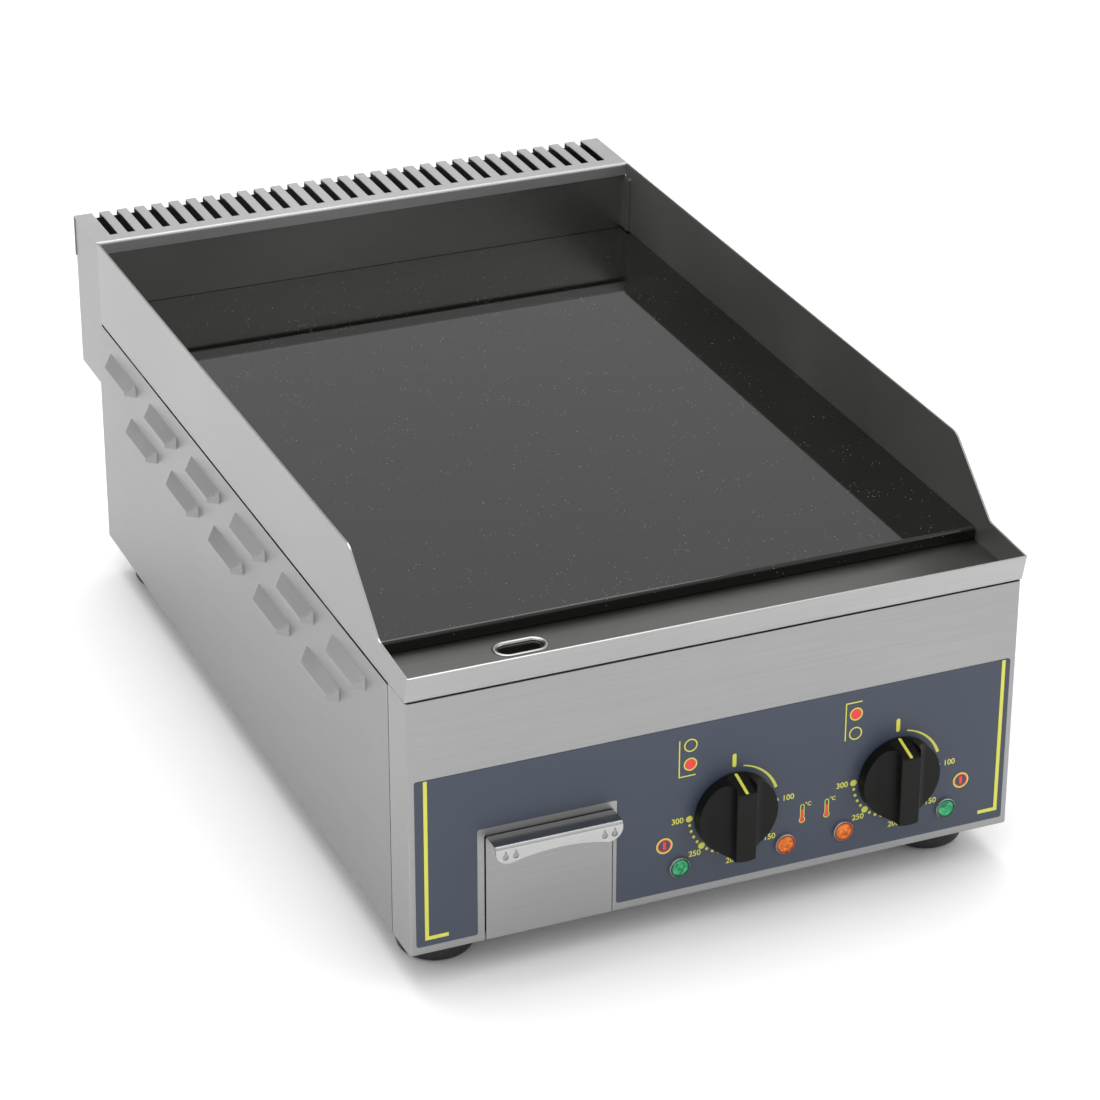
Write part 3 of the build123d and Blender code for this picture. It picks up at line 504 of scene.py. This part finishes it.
frameLines = bmesh.new()
sideLines = (
    {"x": -188.5, "foot": 35.5, "top": 142.0, "reach": -176.0},
    {"x": 190.5, "foot": 37.0, "top": 142.0, "reach": 179.5},
)
thickLine = printLook["lineWidth"]
over = printLook["over"]
for line in sideLines:
    x, foot, top, reach = line.values()
    bar(frameLines, x, (foot + top) / 2, thickLine, top - foot)
    bar(frameLines, (x + reach) / 2, foot, abs(reach - x) + thickLine, thickLine, lift=over)
addPiece("print_side_lines", frameLines, printYellow, "casing")

dialPrint = bmesh.new()
redPrint = bmesh.new()
dialLook = {
    "radius": 29.0, "indexZ": 112.0, "indexWide": 2.6, "indexTall": 6.5, "indexEnd": 3.3,
    "sweep": 29.8, "sweepWidths": (0.7, 2.0), "sweepFrom": (12, 72),
    "dots": {90: 1.4, 135: 1.0, 180: 1.0, 225: 2.2, 270: 2.2}, "smallDot": 1.0, "dotStep": 9,
    "labels": {90: "100", 135: "150", 180: "200", 225: "250", 270: "300"},
    "labelSize": 5.4, "besideReach": 36.8, "belowReach": 35.3,
}
signLook = {
    "armOff": 5.3, "armLong": 11.0, "ring": 4.0, "ringWide": 0.8, "fill": 3.5,
    "onRing": 4.9, "onRingWide": 0.9, "onFill": 4.1, "onFillWide": 0.8, "stroke": (1.9, 5.2),
}
zonePrint = {
    "front": {"bracketX": -27.0, "footLow": 108.2, "footHigh": 133.0, "armAt": 108.2,
              "circleX": -19.7, "red": 115.9, "empty": 128.8, "onX": -45.1, "onZ": -15.1},
    "rear": {"bracketX": 83.3, "footLow": 108.7, "footHigh": 134.3, "armAt": 134.3,
             "circleX": 90.2, "red": 126.1, "empty": 112.8, "onX": 45.7, "onZ": -14.8},
}


def onDial(spot, degrees, radius):
    turn = math.radians(degrees)
    return spot.x / mm + radius * math.sin(turn), spot.z / mm + radius * math.cos(turn)


def printDial(zone, spot):
    look = dialLook
    x = spot.x / mm
    bar(dialPrint, x, look["indexZ"], look["indexWide"], look["indexTall"])
    for way in (1, -1):
        disc(dialPrint, x, look["indexZ"] + way * look["indexEnd"], look["indexWide"] / 2, over)
    arcBand(dialPrint, x, spot.z / mm, look["sweep"], look["sweepWidths"], look["sweepFrom"])
    for degrees, size in look["dots"].items():
        disc(dialPrint, *onDial(spot, degrees, look["radius"]), size, over)
    for first in (180, 225):
        for step in range(1, 5):
            place = onDial(spot, first + step * look["dotStep"], look["radius"])
            disc(dialPrint, *place, look["smallDot"], over)
    for degrees, words in look["labels"].items():
        reach = look["besideReach"] if degrees in (90, 270) else look["belowReach"]
        label(f"label_{zone}_{words}", words, *onDial(spot, degrees, reach), look["labelSize"])


def printZoneSign(zone):
    # two rings in a bracket, one filled red to show which half of the plate the dial heats
    marks = zonePrint[zone]
    fine = printLook["fineWidth"]
    tall = marks["footHigh"] - marks["footLow"]
    bar(dialPrint, marks["bracketX"], marks["footLow"] + tall / 2, fine, tall)
    armX = marks["bracketX"] + signLook["armOff"]
    bar(dialPrint, armX, marks["armAt"], signLook["armLong"], fine, lift=over)
    for z in (marks["red"], marks["empty"]):
        ringWidths = (signLook["ringWide"], signLook["ringWide"])
        arcBand(dialPrint, marks["circleX"], z, signLook["ring"], ringWidths, (0, 360))
    disc(redPrint, marks["circleX"], marks["red"], signLook["fill"])


def printOnSign(x, z):
    look = signLook
    arcBand(dialPrint, x, z, look["onRing"], (look["onRingWide"], look["onRingWide"]), (0, 360))
    arcBand(redPrint, x, z, look["onFill"], (look["onFillWide"], look["onFillWide"]), (0, 360))
    bar(redPrint, x, z, *look["stroke"])


for zone, spot in knobSpots.items():
    printDial(zone, spot)
    printZoneSign(zone)
    printOnSign(spot.x / mm + zonePrint[zone]["onX"], spot.z / mm + zonePrint[zone]["onZ"])

# thermometer signs between the dials
thermoLook = {
    "places": (56.0, 72.6), "bulbZ": 60.0, "bulb": 1.9, "bulbOpen": (40, 320), "neck": 1.5,
    "stem": 1.2, "top": 69.5, "line": 0.5, "fillWide": 1.4, "fillTall": 6.5, "fillUp": 4.0,
    "degreesOff": (3.9, 0.8), "degreesSize": 3.8,
}
bulbZ, stem, top, line = (thermoLook[key] for key in ("bulbZ", "stem", "top", "line"))
stemFoot = bulbZ + thermoLook["neck"]
for signX in thermoLook["places"]:
    arcBand(dialPrint, signX, bulbZ, thermoLook["bulb"], (line, line), thermoLook["bulbOpen"])
    for side in (-1, 1):
        bar(dialPrint, signX + side * stem, (stemFoot + top) / 2, line, top - stemFoot, lift=over)
    arcBand(dialPrint, signX, top, stem, (line, line), (-90, 90))
    disc(redPrint, signX, bulbZ, thermoLook["bulb"] - line)
    fillZ = bulbZ + thermoLook["fillUp"]
    bar(redPrint, signX, fillZ, thermoLook["fillWide"], thermoLook["fillTall"], lift=over)
    aside, above = thermoLook["degreesOff"]
    label(f"label_degrees_{int(signX)}", "°C", signX + aside, top + above, thermoLook["degreesSize"])
addPiece("print_dials", dialPrint, printYellow, "casing")
addPiece("print_red_signs", redPrint, printRed, "casing")
print("panel printed")

# knob pointers, on the sloping end of each grip
# rear and tip: how far out from the panel side of the knob, and how far below its top
pointerLook = {
    "width": 2.0, "thick": 0.25, "rear": (1.2, 0.2), "tip": (18.0, 5.0), "lift": 0.1,
    "corner": 0.6, "cornerSteps": 4,
}
for zone, spot in knobSpots.items():
    low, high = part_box(f"{zone}_zone_knob")
    base = high.y
    radius = (high.z - low.z) / 2
    rear, tip = (Vector((spot.x, base - out * mm, spot.z + radius - drop * mm))
                 for out, drop in (pointerLook["rear"], pointerLook["tip"]))
    along = tip - rear
    pointer = bmesh.new()
    made = bmesh.ops.create_cube(pointer, size=1.0)["verts"]
    thick = pointerLook["thick"] * mm
    bmesh.ops.scale(pointer, vec=(pointerLook["width"] * mm, along.length, thick), verts=made)
    upright = [e for e in pointer.edges if abs(e.verts[0].co.z - e.verts[1].co.z) > thick / 2]
    bmesh.ops.bevel(pointer, geom=upright, offset=pointerLook["corner"] * mm, affect="EDGES",
                    segments=pointerLook["cornerSteps"], profile=0.5, material=-1)
    tilt = Matrix.Rotation(-math.atan2(along.z, -along.y), 3, "X")
    bmesh.ops.rotate(pointer, cent=(0, 0, 0), matrix=tilt, verts=pointer.verts)
    middle = (rear + tip) / 2 + Vector((0, 0, pointerLook["lift"] * mm))
    bmesh.ops.translate(pointer, vec=middle, verts=pointer.verts)
    addPiece(f"{zone}_knob_pointer", pointer, printYellow, f"{zone}_knob")
print("pointers placed")

# pilot lamp lenses, cut like a jewel in a thin seat; steps are reach and lift of each ring
lensLook = {
    "rim": 6.75, "facets": 20, "behind": 0.02, "seatFrom": 0.94, "edgeFrom": 0.74, "twist": 9,
    "steps": ((0.99, 1.7), (0.94, 0.4), (0.74, -0.25), (0.46, -0.9), (0.20, 0.8)),
    "aside": 35.3, "drop": 31.7,
}
lampSpots = {"green": (("front", -1), ("rear", 1)), "amber": (("front", 1), ("rear", -1))}
twist = Matrix.Rotation(math.radians(lensLook["twist"]), 3, "Z")
facePanel = Matrix.Rotation(math.radians(90), 3, "X")


def cutLens(gem, centre):
    radius = lensLook["rim"] * mm
    made = bmesh.ops.create_circle(gem, cap_ends=True, segments=lensLook["facets"], radius=radius)["verts"]
    face = [f for f in gem.faces if all(v in made for v in f.verts)][0]
    reachNow = 1.0
    for reach, lift in lensLook["steps"]:
        face = bmesh.ops.extrude_discrete_faces(gem, faces=[face])["faces"][0]
        ring = list(face.verts)
        bmesh.ops.scale(gem, vec=(reach / reachNow, reach / reachNow, 1), verts=ring)
        bmesh.ops.translate(gem, vec=(0, 0, lift * mm), verts=ring)
        bmesh.ops.rotate(gem, cent=(0, 0, 0), matrix=twist, verts=ring)
        reachNow = reach
        made = made + ring
    bmesh.ops.rotate(gem, cent=(0, 0, 0), matrix=facePanel, verts=made)
    bmesh.ops.translate(gem, vec=centre, verts=made)


for colour, mat, shadedEdgeMat in (("green", lensGreen, edgeGreenShaded), ("amber", lensAmber, edgeAmberShaded)):
    gem = bmesh.new()
    centres = []
    for zone, way in lampSpots[colour]:
        offset = Vector((way * lensLook["aside"], -lensLook["behind"], -lensLook["drop"]))
        centres.append(knobSpots[zone] + offset * mm)
        cutLens(gem, centres[-1])
    bmesh.ops.holes_fill(gem, edges=[e for e in gem.edges if e.is_boundary], sides=0)
    bmesh.ops.recalc_face_normals(gem, faces=gem.faces)
    jewels = addPiece(f"{colour}_lamp_jewels", gem, mat, "casing")
    jewels.data.materials.append(shadedEdgeMat)
    jewels.data.materials.append(zinc)
    for face in jewels.data.polygons:
        out = min(math.hypot(face.center.x - c.x, face.center.z - c.z) for c in centres)
        share = out / (lensLook["rim"] * mm)
        if share > lensLook["seatFrom"]:
            face.material_index = 2
        elif share > lensLook["edgeFrom"]:
            # the outer ring of facets takes the darker copy: painted shade
            face.material_index = 1
    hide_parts(f"{colour}_lamp_lenses")
print("lamps set")

# rolled rim round the drain hole
drainLook = {
    "long": 35.0, "wide": 19.0, "sides": 48, "trayFloor": 1.2, "above": 0.05, "wall": 0.3,
    "roll": ((0.5, 0.5), (0.9, 0.25), (1.1, -0.35), (0.7, -0.9), (0.2, -1.0)),  # inward, upward
}
slotLow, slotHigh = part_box("drain_spout")
drainX, drainY = (slotLow.x + slotHigh.x) / 2, (slotLow.y + slotHigh.y) / 2
trayFloor = slotHigh.z + drainLook["trayFloor"] * mm
rim = bmesh.new()
bmesh.ops.create_circle(rim, segments=drainLook["sides"], radius=drainLook["wide"] / 2 * mm)
stretch = (drainLook["long"] - drainLook["wide"]) / 2 * mm
for vert in rim.verts:
    vert.co.x += stretch if vert.co.x > 0 else -stretch
edges = list(rim.edges)
for inset, lift in drainLook["roll"]:
    grown = bmesh.ops.extrude_edge_only(rim, edges=edges)["geom"]
    edges = [e for e in grown if isinstance(e, bmesh.types.BMEdge)]
    for vert in [v for v in grown if isinstance(v, bmesh.types.BMVert)]:
        centreX = stretch if vert.co.x > 0 else -stretch
        outward = Vector((vert.co.x - centreX, vert.co.y, 0)).normalized()
        vert.co -= outward * inset * mm
        vert.co.z += lift * mm
seat = (drainX, drainY, trayFloor + drainLook["above"] * mm)
bmesh.ops.translate(rim, vec=seat, verts=rim.verts)
bmesh.ops.recalc_face_normals(rim, faces=rim.faces)
rimPiece = addPiece("drain_rolled_rim", rim, traySteel, "casing", smooth=True)
wall = rimPiece.modifiers.new("wall", "SOLIDIFY")
wall.thickness = drainLook["wall"] * mm
print("drain rim rolled")

# camera, floor and light
# the camera stands at this place, measured from the middle of the front rim's edge on the floor
cameraLook = {
    "from": (-854.1, -1746.9, 1238.9), "heading": (0.34873, 0.82127, -0.45155),
    "roll": 0.123, "lens": 123.28, "sensor": 36.0,
}
forward = Vector(cameraLook["heading"]).normalized()
right = forward.cross(Vector((0, 0, 1))).normalized()
up = right.cross(forward)
roll = math.radians(cameraLook["roll"])
rightTurned = math.cos(roll) * right + math.sin(roll) * up
upTurned = -math.sin(roll) * right + math.cos(roll) * up
cameraData = bpy.data.cameras.new("camera")
cameraData.lens = cameraLook["lens"]
cameraData.sensor_width = cameraLook["sensor"]
camera = bpy.data.objects.new("camera", cameraData)
scene.collection.objects.link(camera)
turn = Matrix((rightTurned, upTurned, -forward)).transposed().to_4x4()
x, y, z = cameraLook["from"]
camera.matrix_world = Matrix.Translation((x * mm, y * mm + rimY, z * mm)) @ turn
scene.camera = camera

floorLook = {"reach": 9.0, "colour": (0.93, 0.93, 0.93), "rough": 0.9}
floorBm = bmesh.new()
bmesh.ops.create_grid(floorBm, x_segments=2, y_segments=2, size=floorLook["reach"])
floorMesh = bpy.data.meshes.new("floor")
floorBm.to_mesh(floorMesh)
floorBm.free()
floor = bpy.data.objects.new("floor", floorMesh)
scene.collection.objects.link(floor)
floorMat, _, floorShader = newMaterial("floor_pale")
floorShader.inputs["Base Color"].default_value = (*floorLook["colour"], 1)
floorShader.inputs["Roughness"].default_value = floorLook["rough"]
dress(floor, floorMat)

# the sky's strength grows between two heights; a dark flag stands behind and to the left
skyLook = {
    "glow": (0.62, 1.05), "heights": (0.05, 0.85), "flagAt": (-0.349, 0.821, 0.452),
    "flag": (1.0, 0.12), "flagEdge": (0.86, 0.97),
}
world = bpy.data.worlds.new("studio")
world.use_nodes = True
skyTree = world.node_tree
skyWay = skyTree.nodes.new("ShaderNodeTexCoord").outputs["Generated"]
skyParts = skyTree.nodes.new("ShaderNodeSeparateXYZ")
skyTree.links.new(skyWay, skyParts.inputs["Vector"])
skyGlow = spread(skyTree, skyParts.outputs["Z"], *skyLook["glow"], *skyLook["heights"])
skyFlag = skyTree.nodes.new("ShaderNodeVectorMath")
skyFlag.operation = "DOT_PRODUCT"
skyFlag.inputs[1].default_value = skyLook["flagAt"]
skyTree.links.new(skyWay, skyFlag.inputs[0])
flagShade = spread(skyTree, skyFlag.outputs["Value"], *skyLook["flag"], *skyLook["flagEdge"])
shaded = skyTree.nodes.new("ShaderNodeMath")
shaded.operation = "MULTIPLY"
skyTree.links.new(skyGlow, shaded.inputs[0])
skyTree.links.new(flagShade, shaded.inputs[1])
backdrop = skyTree.nodes["Background"]
skyTree.links.new(shaded.outputs[0], backdrop.inputs["Strength"])
backdrop.inputs["Color"].default_value = (1, 1, 1, 1)
scene.world = world
aimPoint = Vector((0, 0, 0.1))
lamps = {
    "key": {"at": (-1.6, -1.2, 2.6), "size": 2.2, "power": 14},
    "fill": {"at": (2.2, -1.6, 1.6), "size": 2.0, "power": 16},
    "top": {"at": (0.0, 0.8, 3.0), "size": 2.6, "power": 62},
}
for lampName, lamp in lamps.items():
    light = bpy.data.lights.new(lampName, "AREA")
    light.size = lamp["size"]
    light.energy = lamp["power"]
    lightObj = bpy.data.objects.new(lampName, light)
    scene.collection.objects.link(lightObj)
    aim = (aimPoint - Vector(lamp["at"])).to_track_quat("-Z", "Y")
    lightObj.matrix_world = Matrix.Translation(lamp["at"]) @ aim.to_matrix().to_4x4()
print("stage lit")
